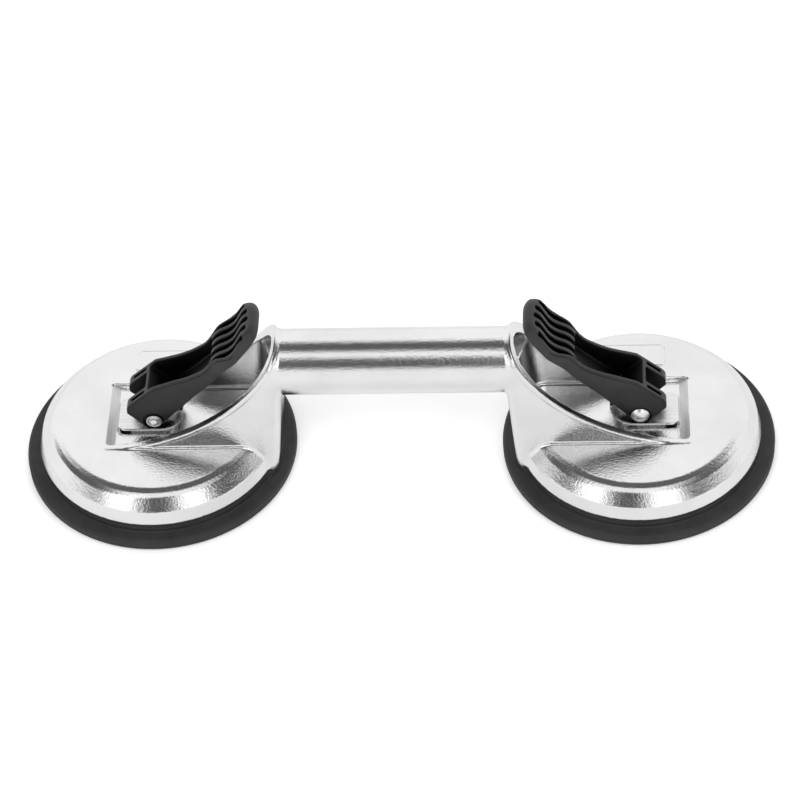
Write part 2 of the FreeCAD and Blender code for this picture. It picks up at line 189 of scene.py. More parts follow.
aluminiumLook = {
    "light": (0.87, 0.87, 0.875),
    "dark": (0.8, 0.8, 0.806),
    "stops": (0.35, 0.65),
    "cloud": (38, 5),                # noise scale and detail
    "wear": (900, 3),
    "roughness": (0.06, 0.12),
    "streaks": (700, 3, (1, 1, 0.04)),
    "streakRelief": (0.1, 0.0001),   # strength, depth in metres
    "pits": (950, 3, None, 0.7),
    "pitRelief": (0.5, 0.00022),
    # The ramp at the open end of each pocket is left as cast: middle and reach in metres
    "asCast": [("X", 0.12395, 0.0022), ("Y", 0.0, 0.0178), ("Z", 0.0211, 0.00095)],
    "castRoughness": 0.55,
}


def polishedAluminium():
    look = aluminiumLook
    material, tree, shader = newMaterial("polishedCasting")
    shader.inputs["Metallic"].default_value = 1.0
    tint(tree, shader, noise(tree, *look["cloud"]), look)
    finish = addNode(tree, "ShaderNodeMix")
    tree.links.new(nearPlace(tree, look["asCast"]), finish.inputs["Factor"])
    polished = spread(tree, noise(tree, *look["wear"]), *look["roughness"])
    tree.links.new(polished, finish.inputs["A"])
    finish.inputs["B"].default_value = look["castRoughness"]
    tree.links.new(finish.outputs["Result"], shader.inputs["Roughness"])
    streaked = bump(tree, shader, noise(tree, *look["streaks"]), *look["streakRelief"])
    bump(tree, shader, noise(tree, *look["pits"]), *look["pitRelief"], under=streaked)
    return material


steelLook = {
    "light": (0.86, 0.86, 0.86),
    "dark": (0.76, 0.76, 0.77),
    "stops": (0.3, 0.7),
    "grain": (60, 4, (1, 30, 1)),
    "wear": (400, 3),
    "roughness": (0.2, 0.32),
    "relief": (0.02, 0.0001),
}
hammeredLook = {
    "light": (0.95, 0.95, 0.95),
    "dark": (0.82, 0.82, 0.83),
    "stops": (0.3, 0.6),
    "grain": (500, 3),
    "wear": (900, 3),
    "roughness": (0.24, 0.38),
    "relief": (0.3, 0.0003),
}


def grainedSteel(name, look):
    material, tree, shader = newMaterial(name)
    shader.inputs["Metallic"].default_value = 1.0
    grain = noise(tree, *look["grain"])
    tint(tree, shader, grain, look)
    wear(tree, shader, look)
    bump(tree, shader, grain, *look["relief"])
    return material


plasticLook = {
    "light": (0.03, 0.03, 0.031),
    "dark": (0.02, 0.02, 0.021),
    "stops": (0.3, 0.7),
    "cloud": (90, 4),
    "wear": (260, 4),
    "roughness": (0.4, 0.52),
    "grain": (2600, 2),
    "relief": (0.12, 0.00008),
    # Painted shade: how far and how much the colour and the gloss are darkened deep in a hollow
    "paintedHollowShade": 0.02,                  # metres that the shade of a hollow reaches
    "paintedShadeSamples": 8,
    "shade": [(0.4, (0.06, 0.06, 0.06)), (0.92, (1, 1, 1))],
    "specular": (0.05, 0.5),         # deep in a hollow, in the open
}


def mouldedPlastic():
    look = plasticLook
    material, tree, shader = newMaterial("mouldedPlastic")
    cloud = ramp(tree, noise(tree, *look["cloud"]), tintStops(look))
    # Painted shade: ambient occlusion darkens the colour and lowers the gloss in deep hollows
    paintedHollowShade = addNode(tree, "ShaderNodeAmbientOcclusion", samples=look["paintedShadeSamples"])
    paintedHollowShade.inputs["Distance"].default_value = look["paintedHollowShade"]
    tree.links.new(cloud, paintedHollowShade.inputs["Color"])
    shade = addNode(tree, "ShaderNodeMix", data_type="RGBA", blend_type="MULTIPLY")
    shade.inputs["Factor"].default_value = 1.0
    tree.links.new(cloud, shade.inputs["A"])
    tree.links.new(ramp(tree, paintedHollowShade.outputs["AO"], look["shade"]), shade.inputs["B"])
    tree.links.new(shade.outputs["Result"], shader.inputs["Base Color"])
    # Painted shade on the gloss: less specular deep in a hollow than in the open
    specular = spread(tree, paintedHollowShade.outputs["AO"], *look["specular"])
    tree.links.new(specular, shader.inputs["Specular IOR Level"])
    wear(tree, shader, look)
    bump(tree, shader, noise(tree, *look["grain"]), *look["relief"])
    return material


rubberLook = {
    "light": (0.03, 0.03, 0.031),
    "dark": (0.018, 0.018, 0.019),
    "stops": (0.3, 0.7),
    "cloud": (70, 5),
    "wear": (500, 4),
    "roughness": (0.55, 0.72),
    "grain": (1800, 3),
    "relief": (0.15, 0.0001),
}


def mouldedRubber():
    look = rubberLook
    material, tree, shader = newMaterial("mouldedRubber")
    tint(tree, shader, noise(tree, *look["cloud"]), look)
    wear(tree, shader, look)
    bump(tree, shader, noise(tree, *look["grain"]), *look["relief"])
    return material


# Mesh helpers

def netSurface(field, low, high, step):
    # One vertex in every cell that the surface crosses, one face for every grid edge that it crosses
    counts = [int(math.ceil((b - a) / step)) + 1 for a, b in zip(low, high)]
    axes = [(a + step * np.arange(n)).astype(np.float32) for a, n in zip(low, counts)]
    value = np.empty(counts, np.float32)
    for start in range(0, counts[0], 32):
        part = np.meshgrid(axes[0][start:start + 32], axes[1], axes[2], indexing="ij")
        value[start:start + 32] = field(*part)
    inside = value < 0
    cells = tuple(n - 1 for n in counts)
    total = np.zeros(cells, np.uint8)
    for i, j, k in itertools.product((0, 1), repeat=3):
        total += inside[i:i + cells[0], j:j + cells[1], k:k + cells[2]]
    crossed = (total > 0) & (total < 8)
    where = np.argwhere(crossed)
    index = np.full(cells, -1, np.int32)
    index[crossed] = np.arange(len(where))
    place = np.zeros((len(where), 3))
    hits = np.zeros(len(where))
    for axis in range(3):
        others = [a for a in range(3) if a != axis]
        for p, q in itertools.product((0, 1), repeat=2):
            corner = np.zeros(3, int)
            corner[others[0]], corner[others[1]] = p, q
            first = where + corner
            second = first.copy()
            second[:, axis] += 1
            a = value[tuple(first.T)].astype(float)
            b = value[tuple(second.T)].astype(float)
            flips = (a < 0) != (b < 0)
            share = np.where(flips, a / np.where(flips, a - b, 1), 0)
            point = first.astype(float)
            point[:, axis] += share
            place[flips] += point[flips]
            hits[flips] += 1
    place = place / hits[:, None] * step + np.array(low)
    faces = []
    for axis in range(3):
        one, two = [a for a in range(3) if a != axis]
        lowSide = [slice(None)] * 3
        highSide = [slice(None)] * 3
        lowSide[axis], highSide[axis] = slice(0, -1), slice(1, None)
        flips = inside[tuple(lowSide)] != inside[tuple(highSide)]
        spots = np.argwhere(flips)
        first, second = spots[:, one], spots[:, two]
        spots = spots[(first > 0) & (second > 0) & (first < cells[one]) & (second < cells[two])]
        leaving = inside[tuple(spots.T)]
        ring = []
        for p, q in ((1, 1), (0, 1), (0, 0), (1, 0)):
            cell = spots.copy()
            cell[:, one] -= p
            cell[:, two] -= q
            ring.append(index[tuple(cell.T)])
        quad = np.stack(ring, axis=1)
        if axis == 1:
            leaving = ~leaving
        quad[~leaving] = quad[~leaving][:, ::-1]
        faces.append(quad)
    return place, np.concatenate(faces)


def roundedPath(corners, steps=6):
    # Points of a profile from (across, up, radius) corners, each one an arc where its radius is not zero
    path = []
    for index, (a, b, radius) in enumerate(corners):
        if radius <= 0 or index in (0, len(corners) - 1):
            path.append((a, b))
            continue
        here = Vector((a, b))
        back = (Vector(corners[index - 1][:2]) - here).normalized()
        ahead = (Vector(corners[index + 1][:2]) - here).normalized()
        half = back.angle(ahead) / 2
        middle = here + (back + ahead).normalized() * (radius / math.sin(half))
        start = here + back * (radius / math.tan(half)) - middle
        sweep = math.pi - 2 * half
        if start.x * (-back.y) + start.y * back.x > 0:
            sweep = -sweep
        for step in range(steps + 1):
            turn = sweep * step / steps
            path.append((middle.x + start.x * math.cos(turn) + start.y * math.sin(turn),
                         middle.y - start.x * math.sin(turn) + start.y * math.cos(turn)))
    return path


def outlineDistance(corners, across, up):
    # Distance to a closed outline, negative inside
    best = np.full(across.shape, 1e9)
    inside = np.zeros(across.shape, bool)
    for (a, b), (e, f) in zip(corners, corners[1:] + corners[:1]):
        run, rise = e - a, f - b
        if run == 0 and rise == 0:
            continue
        share = np.clip(((across - a) * run + (up - b) * rise) / (run * run + rise * rise), 0, 1)
        best = np.minimum(best, np.hypot(across - a - share * run, up - b - share * rise))
        if rise != 0:
            crosses = (b > up) != (f > up)
            inside ^= crosses & (across < a + (up - b) * run / rise)
    return np.where(inside, -best, best)


def distanceTable(corners, low, high, step):
    # A grid of outline distances, read back with smooth steps between its points
    counts = [int(math.ceil((b - a) / step)) + 3 for a, b in zip(low, high)]
    across, up = np.meshgrid(*[a - step + step * np.arange(n) for a, n in zip(low, counts)], indexing="ij")
    grid = outlineDistance(corners, across, up)

    def read(first, second):
        i = np.clip((first - low[0]) / step + 1, 0, counts[0] - 1.001)
        j = np.clip((second - low[1]) / step + 1, 0, counts[1] - 1.001)
        p, q = i.astype(int), j.astype(int)
        s, t = i - p, j - q
        return ((grid[p, q] * (1 - s) + grid[p + 1, q] * s) * (1 - t)
                + (grid[p, q + 1] * (1 - s) + grid[p + 1, q + 1] * s) * t)

    return read


def slopeOf(field, points, reach=0.04):
    slope = np.empty_like(points)
    for axis in range(3):
        step = np.zeros(3)
        step[axis] = reach
        slope[:, axis] = (field(*(points + step).T) - field(*(points - step).T)) / (2 * reach)
    return slope


def settle(field, points, rounds, most):
    # Moves every point onto the surface along the field's slope
    for turn in range(rounds):
        distance = field(*points.T)
        slope = slopeOf(field, points)
        size = np.maximum((slope ** 2).sum(axis=1), 0.2)
        points = points - slope * np.clip(distance / size, -most, most)[:, None]
    return points


# Casting: a distance field in millimetres, meshed and then thinned where it is flat

castingSet = {
    "step": 0.62,             # mm between field samples
    "keep": 0.34,             # share of faces left after thinning
    "low": (-158, -54.5, 4.8),
    "high": (158, 54.5, 71.5),
    "halfSpacing": 104.0,
    "sheetHigh": 5.6,         # underside of the skirt
    "cover": [(52.4, 5.6, 0), (53.0, 10.0, 2.0), (51.3, 15.4, 2.2), (47.0, 20.25, 3.0),
              (45.2, 21.4, 3.0), (42.8, 22.2, 4.0)],        # radius, height, round
    "table": ((0, 4), (56, 72), 0.1),      # corners and step of the cover's distance table
    "deckHigh": 22.2,
    "ceiling": 19.2,
    "seat": (49.8, 10.4),
    "innerStep": (44.0, 19.2),
    "slab": (-11.6, 30.6, 21.0, 3),        # under the pocket: middle, half sizes, thickness
    "ribs": (8, 30.0, 17.2, 1.0),          # how many, start, underside, half width
    "handleHigh": 54.2,
    "handleRadius": 14.2,
    "tubeEnd": -54.2,
    "boreRadius": 11.0,
    "boreEnd": -44,
    "archRadius": 15.9,
    "wallLean": 7.08,         # degrees that each housing wall leans in
    "innerEnd": (-52.8, 0.078),            # at the skirt's underside, and its lean for each mm of height
    "outerEnd": 22.0,
    "rim": (23.57, 109.75, 88.0),          # centre and radius of the sloping opening
    "bead": (2.0, 0.4, 0.2),               # how far down it runs, how proud, its gap to the deck
    "wall": (3.2, 0.4, 20),                # thickness, share that it loses outward, over what length
    "pocketFloor": 20.2,
    "pocketEnd": -48.8,
    "ramp": (18.0, 21.8),
    "seatPad": (2.6, 8.9, 7.5, 20.9, 0.6),         # middle, half sizes, height and half thickness
    "slotBox": (0.6, 5.9, 4.5),
    "pad": (-24.1, 11.9, 31.3, 6.3, 3.0, 0.4),     # start, end, middle, half width, corner, proud
    "padRoot": 20.5,
    "rounds": {
        "corner": 7.0, "bead": 0.4, "beadFoot": 0.35, "outer": 1.0, "rim": 0.55, "hood": 1.3,
        "tubeEnd": 0.5, "tube": 1.3, "seat": 1.5, "ceiling": 1.6, "slab": 0.8, "rib": 0.6, "skirt": 0.4,
        "pocket": 11.0, "ramp": 1.0, "floor": 1.5, "pocketLip": 0.5, "boreLip": 0.5, "seatPad": 0.3,
        "seatPadFoot": 0.4, "slot": 0.8, "slotLip": 0.3, "padTop": 0.3, "padFoot": 0.12,
    },
}


def roundMax(a, b, radius):
    # Keeps what is in both shapes, with a rounded edge between them
    corner = np.hypot(np.maximum(a + radius, 0), np.maximum(b + radius, 0))
    return np.minimum(np.maximum(a, b), -radius) + corner


def roundMin(a, b, radius):
    # Joins two shapes with a fillet between them
    corner = np.hypot(np.maximum(radius - a, 0), np.maximum(radius - b, 0))
    return np.maximum(np.minimum(a, b), radius) - corner


def lineSide(first, second, across, up):
    # Distance to the line through two profile points, positive on its outer side
    run, rise = second[0] - first[0], second[1] - first[1]
    size = math.hypot(run, rise)
    return ((across - first[0]) * rise - (up - first[1]) * run) / size


def archSection(y, z, radius):
    lean = math.radians(castingSet["wallLean"])
    up = z - castingSet["handleHigh"]
    side = np.abs(y)
    onArch = up * math.cos(lean) > side * math.sin(lean)
    return np.where(onArch, np.hypot(side, up), side * math.cos(lean) + up * math.sin(lean)) - radius


def castingShape(coverTable, x, y, z):
    c = castingSet
    rounds = c["rounds"]
    u = np.abs(x) - c["halfSpacing"]
    r = np.hypot(u, y)
    section = archSection(y, z, c["archRadius"])
    # Housing, with a bead along the rim of its open side
    rimX, rimZ, rimRadius = c["rim"]
    rim = rimRadius - np.hypot(u - rimX, z - rimZ)
    endLow, endLean = c["innerEnd"]
    endLean = endLean * (z - c["sheetHigh"])
    housing = roundMax(section, endLow - endLean - u, rounds["corner"])
    beadDown, beadOut, beadStop = c["bead"]
    bead = roundMax(housing - beadOut, -rim - beadDown, rounds["bead"])
    bead = np.maximum(bead, c["deckHigh"] + beadStop - z)
    hood = roundMin(housing, bead, rounds["beadFoot"])
    hood = roundMax(hood, u - c["outerEnd"], rounds["outer"])
    hood = roundMax(hood, rim, rounds["rim"])
    body = roundMin(coverTable(r, z), hood, rounds["hood"])
    tube = np.hypot(y, z - c["handleHigh"]) - c["handleRadius"]
    tube = roundMax(tube, u - c["tubeEnd"], rounds["tubeEnd"])
    body = roundMin(body, tube, rounds["tube"])
    # Inside of the cover
    hollow = roundMax(r - c["seat"][0], lineSide(c["seat"], c["innerStep"], r, z), rounds["seat"])
    hollow = roundMax(hollow, z - c["ceiling"], rounds["ceiling"])
    slabU, slabHalfU, slabHalfY, slabThick = c["slab"]
    slab = np.maximum(np.abs(y) - slabHalfY, np.abs(u - slabU) - slabHalfU)
    slab = np.maximum(slab, c["pocketFloor"] - slabThick - z)
    hollow = roundMax(hollow, -slab, rounds["slab"])
    count, ribStart, ribLow, ribHalf = c["ribs"]
    piece = 2 * math.pi / count
    folded = np.mod(np.arctan2(y, u), piece) - piece / 2
    rib = np.maximum(np.abs(r * np.sin(folded)) - ribHalf, np.maximum(ribStart - r, ribLow - z))
    hollow = roundMax(hollow, -rib, rounds["rib"])
    body = np.maximum(body, -hollow)
    body = roundMax(body, c["sheetHigh"] - z, rounds["skirt"])
    # Pocket, bore and the slot for the yoke
    thick, thinner, over = c["wall"]
    wall = thick * (1 - thinner * np.clip(u / over, 0, 1))
    pocket = roundMax(section + wall, c["pocketEnd"] - endLean - u, rounds["pocket"])
    rampStart, rampEnd = c["ramp"]
    rampRun, rampRise = rampEnd - rampStart, c["deckHigh"] - c["pocketFloor"]
    ramp = ((u - rampStart) * rampRise - (z - c["pocketFloor"]) * rampRun) / math.hypot(rampRun, rampRise)
    floor = roundMax(c["pocketFloor"] - z, ramp, rounds["ramp"])
    pocket = roundMax(pocket, floor, rounds["floor"])
    body = roundMax(body, -pocket, rounds["pocketLip"])
    bore = np.hypot(y, z - c["handleHigh"]) - c["boreRadius"]
    bore = np.maximum(bore, u - c["boreEnd"])
    body = roundMax(body, -bore, rounds["boreLip"])
    seatU, seatHalfU, seatHalfY, seatHigh, seatHalf = c["seatPad"]
    seatPad = np.maximum(np.abs(u - seatU) - seatHalfU, np.abs(y) - seatHalfY)
    seatPad = roundMax(seatPad, np.abs(z - seatHigh) - seatHalf, rounds["seatPad"])
    body = roundMin(body, seatPad, rounds["seatPadFoot"])
    slotU, slotHalfU, slotHalfY = c["slotBox"]
    slot = roundMax(np.abs(u - slotU) - slotHalfU, np.abs(y) - slotHalfY, rounds["slot"])
    body = roundMax(body, -slot, rounds["slotLip"])
    # Bare label pad, on the back of both decks
    start, end, padY, half, corner, proud = c["pad"]
    pad = roundMax(np.abs(u - (start + end) / 2) - (end - start) / 2, np.abs(y - padY) - half, corner)
    pad = roundMax(pad, z - c["deckHigh"] - proud, rounds["padTop"])
    pad = np.maximum(pad, c["padRoot"] - z)
    return roundMin(body, pad, rounds["padFoot"])


def linked(name, mesh):
    piece = bpy.data.objects.new(name, mesh)
    bpy.context.scene.collection.objects.link(piece)
    return piece


def applied(piece):
    # The mesh with its modifiers worked out, in place of the first one
    graph = bpy.context.evaluated_depsgraph_get()
    done = bpy.data.meshes.new_from_object(piece.evaluated_get(graph))
    piece.modifiers.clear()
    first = piece.data
    piece.data = done
    bpy.data.meshes.remove(first)
    return piece


def standsFor(piece, node, finish):
    body = next(name for name, nodes in frame["record"]["behaviour"]["bodies"].items() if node in nodes)
    piece.data.materials.clear()
    piece.data.materials.append(finish)
    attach(piece, body)
    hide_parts(node)


def smoothShade(mesh):
    mesh.polygons.foreach_set("use_smooth", [True] * len(mesh.polygons))


def netted(name, field, values):
    # The surface of a field, thinned where it is flat, with one normal for each point
    step = values["step"]
    points, faces = netSurface(field, values["low"], values["high"], step)
    points = settle(field, points, 5, 0.5 * step)
    mesh = bpy.data.meshes.new(name + "Full")
    mesh.from_pydata(points.tolist(), [], faces.tolist())
    piece = linked(name, mesh)
    thin = piece.modifiers.new("thin", "DECIMATE")
    thin.ratio = values["keep"]
    applied(piece)
    points = np.empty(len(piece.data.vertices) * 3)
    piece.data.vertices.foreach_get("co", points)
    points = settle(field, points.reshape(-1, 3), 3, 0.3 * step)
    slope = slopeOf(field, points)
    return piece, points, slope / np.linalg.norm(slope, axis=1)[:, None]


def setPoints(mesh, points, normals):
    mesh.vertices.foreach_set("co", (points * millimetre).ravel())
    smoothShade(mesh)
    mesh.normals_split_custom_set_from_vertices(normals.tolist())


def makeCasting(finish):
    c = castingSet
    profile = roundedPath(c["cover"] + [(0, c["deckHigh"], 0)], 12)
    coverTable = distanceTable(profile + [(0, c["sheetHigh"])], *c["table"])
    castingField = partial(castingShape, coverTable)
    piece, points, normals = netted("casting", castingField, c)
    setPoints(piece.data, points, normals)
    standsFor(piece, "cast_body", finish)
    print("casting", len(piece.data.polygons), "faces")


# Levers: a field in the lever's own frame, where a runs from the pin to the tip and h goes across it

leverSet = {
    "step": 0.36,
    "keep": 0.36,
    "low": (-6.2, -13.4, -6.0),
    "high": (76.4, 13.4, 16.0),
    "tableStep": 0.1,
    "pivot": (0.6, 27.6),     # x and z from the cup's centre
    "tilt": 42.6,
    "outline": [
        (-5.2, -4.7, 4.7), (9.3, -2.9, 20), (36, -1.3, 60), (58, 2.6, 40), (70, 3.8, 4), (75.0, 8.4, 3),
        (66, 10.0, 8), (56, 6.2, 12), (48, 8.5, 9), (38, 5.9, 14), (29, 7.6, 40), (14.3, 13.9, 1.5),
        (-2.43, 13.9, 5), (-5.2, 10.89, 1.5),
    ],
    "plan": [(-6.2, 9.3, 0), (14, 9.3, 20), (24, 8.8, 30), (43.5, 9.6, 25), (54.5, 12.6, 12),
             (75.0, 12.6, 12.5)],
    "edge": 0.45,
    "tipEdge": (54.0, 71.0, 3.4),      # where the edges grow round, where they end, and how round
    "middle": [(-6, 4), (14, 5), (30, 3.2), (42, 3.2), (60, 5.6), (74, 7)],
    "rebate": (1.15, 0.38, 57.0),      # how far it runs down the cheek, how deep it is, where it ends
    "wall": 1.9,
    "web": (9.3, 11.0),
    "floor": 0.5,
    "gripStart": 42.5,
    "slotEnd": 68.8,
    "slotFloor": [(48.0, 2.6), (58.0, 4.2), (70.0, 5.6), (75.0, 9.8)],   # follows the underside
    "slotLag": 0.028,
    "slots": 5,
    "rib": 2.0,
    "ribEnd": 3.6,
    "ribInset": 0.4,
    "overlap": 0.5,                    # mm that the slots run into the hollow and the wall
    "forkGap": 4.3,
    "legSlot": (0.6, 8.6, 6.8, 0.8, 7.9),      # start, end, middle, half width, floor
    "bore": 2.1,
    "recess": (4.7, 8.4),     # radius, where its floor is
    "rounds": {
        "rebate": 0.12, "hollow": 1.3, "floor": 0.8, "hollowLip": 0.35, "ribEnd": 2.6, "slotTip": 1.0,
        "slotFloor": 0.9, "slotLip": 0.4, "gap": 0.8, "gapLip": 0.3, "leg": 0.2, "recess": 0.2,
        "recessLip": 0.25, "bore": 0.2,
    },
}


def leverField():
    c = leverSet
    rounds = c["rounds"]
    low, high, step = c["low"], c["high"], c["tableStep"]
    corners = c["outline"]
    sideTable = distanceTable(roundedPath([corners[-1]] + corners + [corners[0]], 24)[1:-1],
                              (low[0], low[2]), (high[0], high[2]), step)
    half = roundedPath([c["plan"][0]] + c["plan"] + [(c["plan"][-1][0], 0, 0)], 40)[1:]
    planTable = distanceTable([(a, -y) for a, y in half] + [(a, y) for a, y in reversed(half)],
                              (low[0], low[1]), (high[0], high[1]), step)
    middlePlaces, middleHeights = zip(*c["middle"])
    floorPlaces, floorHeights = zip(*c["slotFloor"])
    slotZone = 2 * (c["plan"][-1][1] - c["wall"])
    pitch = (slotZone + c["rib"]) / c["slots"]
    outermost = c["slots"] // 2

    def field(a, y, h):
        side = sideTable(a, h)
        plan = planTable(a, y)
        roundStart, roundEnd, tipRound = c["tipEdge"]
        share = np.clip((a - roundStart) / (roundEnd - roundStart), 0, 1)
        body = roundMax(side, plan, c["edge"] + tipRound * share * share * (3 - 2 * share))
        rebateDown, rebateDeep, rebateEnd = c["rebate"]
        strip = np.minimum(rebateDown + side, rebateDeep + plan)
        strip = np.minimum(strip, h - np.interp(a, middlePlaces, middleHeights))
        strip = np.minimum(strip, rebateEnd - a)
        body = roundMax(body, strip, rounds["rebate"])
        # The hollow back and the slots between the ribs of the grip
        webStart, webEnd = c["web"]
        hollow = roundMax(plan + c["wall"], webEnd - a, rounds["hollow"])
        hollow = roundMax(hollow, c["floor"] - h, rounds["floor"])
        hollow = np.maximum(hollow, a - c["gripStart"])
        nearest = np.clip(np.round(y / pitch), -outermost, outermost) * pitch
        slot = np.abs(y - nearest) - (pitch - c["rib"]) / 2
        slot = roundMax(slot, a - c["slotEnd"] + c["slotLag"] * nearest * nearest, rounds["slotTip"])
        slot = roundMax(slot, np.interp(a, floorPlaces, floorHeights) - h, rounds["slotFloor"])
        slot = np.maximum(slot, c["gripStart"] - c["overlap"] - a)
        slot = np.maximum(slot, plan + c["wall"] - c["overlap"])
        ribEnd = np.exp(-((a - c["gripStart"]) / c["ribEnd"]) ** 2)
        ribEnd = ribEnd * np.clip(-plan - c["wall"] - c["ribInset"], 0, 1)
        body = roundMax(body, -hollow, rounds["hollowLip"] + rounds["ribEnd"] * ribEnd)
        body = roundMax(body, -slot, rounds["slotLip"])
        # The fork, its leg slots and the pin's hole
        gap = roundMax(np.abs(y) - c["forkGap"], a - webStart, rounds["gap"])
        body = roundMax(body, -gap, rounds["gapLip"])
        legStart, legEnd, legMiddle, legHalf, legFloor = c["legSlot"]
        leg = np.maximum(np.abs(a - (legStart + legEnd) / 2) - (legEnd - legStart) / 2,
                         np.abs(np.abs(y) - legMiddle) - legHalf)
        leg = np.maximum(leg, legFloor - h)
        body = roundMax(body, -leg, rounds["leg"])
        fromPin = np.hypot(a, h)
        recessRadius, recessFloor = c["recess"]
        recess = roundMax(fromPin - recessRadius, recessFloor - np.abs(y), rounds["recess"])
        body = roundMax(body, -recess, rounds["recessLip"])
        return roundMax(body, c["bore"] - fromPin, rounds["bore"])

    return field


def makeLevers(finish):
    c = leverSet
    piece, points, normals = netted("lever", leverField(), c)
    tilt = math.radians(c["tilt"])
    along, across = math.cos(tilt), math.sin(tilt)
    turn = np.array([[-along, 0, across], [0, 1, 0], [across, 0, along]])
    pivotX, pivotZ = c["pivot"]
    points = points @ turn + (castingSet["halfSpacing"] + pivotX, 0, pivotZ)
    normals = normals @ turn
    piece.data.flip_normals()
    for end, side in ends.items():
        lever = piece if side > 0 else linked(end + "Lever", piece.data.copy())
        lever.name = end + "Lever"
        setPoints(lever.data, points * (side, side, 1), normals * (side, side, 1))
        standsFor(lever, end + "_lever", finish)
        print(end, "lever", len(lever.data.polygons), "faces")


# Turned pieces

def lathe(name, path, count, place, alongY=False):
    # Turns a closed profile of (radius, height) points round its axis
    body = bmesh.new()
    rings = []
    for index in range(count):
        turn = 2 * math.pi * index / count
        ring = []
        for radius, high in path:
            flat = (radius * math.cos(turn), radius * math.sin(turn), high)
            spot = (flat[0], flat[2], -flat[1]) if alongY else flat
            ring.append(body.verts.new([(p + o) * millimetre for p, o in zip(spot, place)]))
        rings.append(ring)
    for index in range(count):
        ring, after = rings[index], rings[(index + 1) % count]
        for k in range(len(path)):
            last = (k + 1) % len(path)
            if path[k][0] < 1e-6 and path[last][0] < 1e-6:
                continue
            body.faces.new((ring[k], after[k], after[last], ring[last]))
    bmesh.ops.remove_doubles(body, verts=body.verts, dist=1e-7)
    bmesh.ops.recalc_face_normals(body, faces=body.faces)
    mesh = bpy.data.meshes.new(name)
    body.to_mesh(mesh)
    body.free()
    smoothShade(mesh)
    mesh.set_sharp_from_angle(angle=math.radians(38))
    return linked(name, mesh)


rubberSet = {
    "radius": 59.0,
    "rimHigh": 5.6,
    "centreHigh": 4.4,
    "lipInner": 53.0,         # of the sealing lip
    "hollow": 0.6,
    "groove": (53.8, 5.25),   # round the cover's skirt, radius and height
    "shelf": (49.2, 48.6),    # where the seat ends and the middle starts
    "recess": (36.3, 2.4),
    "headRecess": (7.3, 1.3),
    "segments": 192,
}


def makeRubber(end, finish):
    c = rubberSet
    recess, recessHigh = c["recess"]
    head, headHigh = c["headRecess"]
    groove, grooveHigh = c["groove"]
    shelfOuter, shelfInner = c["shelf"]
    path = roundedPath([
        (0, c["hollow"], 0),
        (c["lipInner"] - 2.2, c["hollow"], 1.0),
        (c["lipInner"] - 1.0, 0, 0.5),
        (c["radius"] - 0.9, 0, 0.5),
        (c["radius"] - 0.05, 0.9, 0.8),
        (c["radius"], c["rimHigh"] - 1.1, 0.8),
        (c["radius"] - 1.1, c["rimHigh"], 0.8),
        (groove, grooveHigh, 0.6),
        (groove - 0.7, c["rimHigh"], 0.3),
        (shelfOuter, c["rimHigh"], 0.3),
        (shelfInner, c["centreHigh"], 0.3),
        (recess + 0.4, c["centreHigh"], 0.3),
        (recess, c["centreHigh"] - 0.5, 0.3),
        (recess, recessHigh, 0.3),
        (head, recessHigh, 0.2),
        (head, headHigh, 0.2),
        (0, headHigh, 0),
    ])
    piece = lathe(end + "Rubber", path, c["segments"], (ends[end] * castingSet["halfSpacing"], 0, 0))
    standsFor(piece, end + "_rubber_cup", finish)


pinSet = {
    "shank": 2.0,
    "head": (4.0, 0.55, 2.2),     # radius, rim, whole height
    "seat": 8.8,
    "tail": (0.7, 1.9, 1.25),     # washer, how far it stands out, dome
    "edge": 0.15,
    "washer": (2.0, 2.3, 3.4, 0.25),      # bore, bore at the top, radius, countersink
    "segments": 64,
}


def dome(radius, high, steps):
    # Profile of a spherical cap from its rim to its top
    ball = (radius * radius + high * high) / (2 * high)
    reach = math.asin(min(1, radius / ball)) if high < radius else math.pi / 2
    turns = [reach * (1 - k / steps) for k in range(1, steps + 1)]
    return [(ball * math.sin(turn), ball * math.cos(turn) - ball + high) for turn in turns]


def makePin(end, steel, washerSteel):
    c = pinSet
    side = ends[end]
    headRadius, headRim, headHigh = c["head"]
    washerThick, tailOut, tailDome = c["tail"]
    seat = c["seat"]
    tail = seat + washerThick + tailOut - tailDome
    edge = c["edge"]
    path = [(0, -seat - headHigh)]
    cap = dome(headRadius - edge, headHigh - headRim, 9)
    path += [(radius, -seat - headRim - high) for radius, high in reversed(cap[:-1])]
    path += [(headRadius - edge, -seat - headRim), (headRadius, -seat - headRim + edge)]
    path += [(headRadius, -seat - edge), (headRadius - edge, -seat)]
    path += [(c["shank"], -seat), (c["shank"], tail)]
    path += [(radius, tail + high) for radius, high in dome(c["shank"], tailDome, 8)[:-1]]
    path += [(0, tail + tailDome)]
    place = (side * (castingSet["halfSpacing"] + leverSet["pivot"][0]), 0, leverSet["pivot"][1])
    turned = [(radius, side * high) for radius, high in path]
    pin = lathe(end + "Pin", turned, c["segments"], place, alongY=True)
    standsFor(pin, end + "_pivot_pin", steel)
    bore, boreTop, radius, sink = c["washer"]
    top = seat + washerThick
    ring = roundedPath([(bore, seat, 0), (radius, seat, 0.12), (radius, top, 0.2), (boreTop, top, 0.2),
                        (bore, top - sink, 0)], 3)
    ring = [(radius, side * high) for radius, high in ring]
    washer = lathe(end + "Washer", ring, c["segments"], place, alongY=True)
    standsFor(washer, end + "_pin_washer", washerSteel)


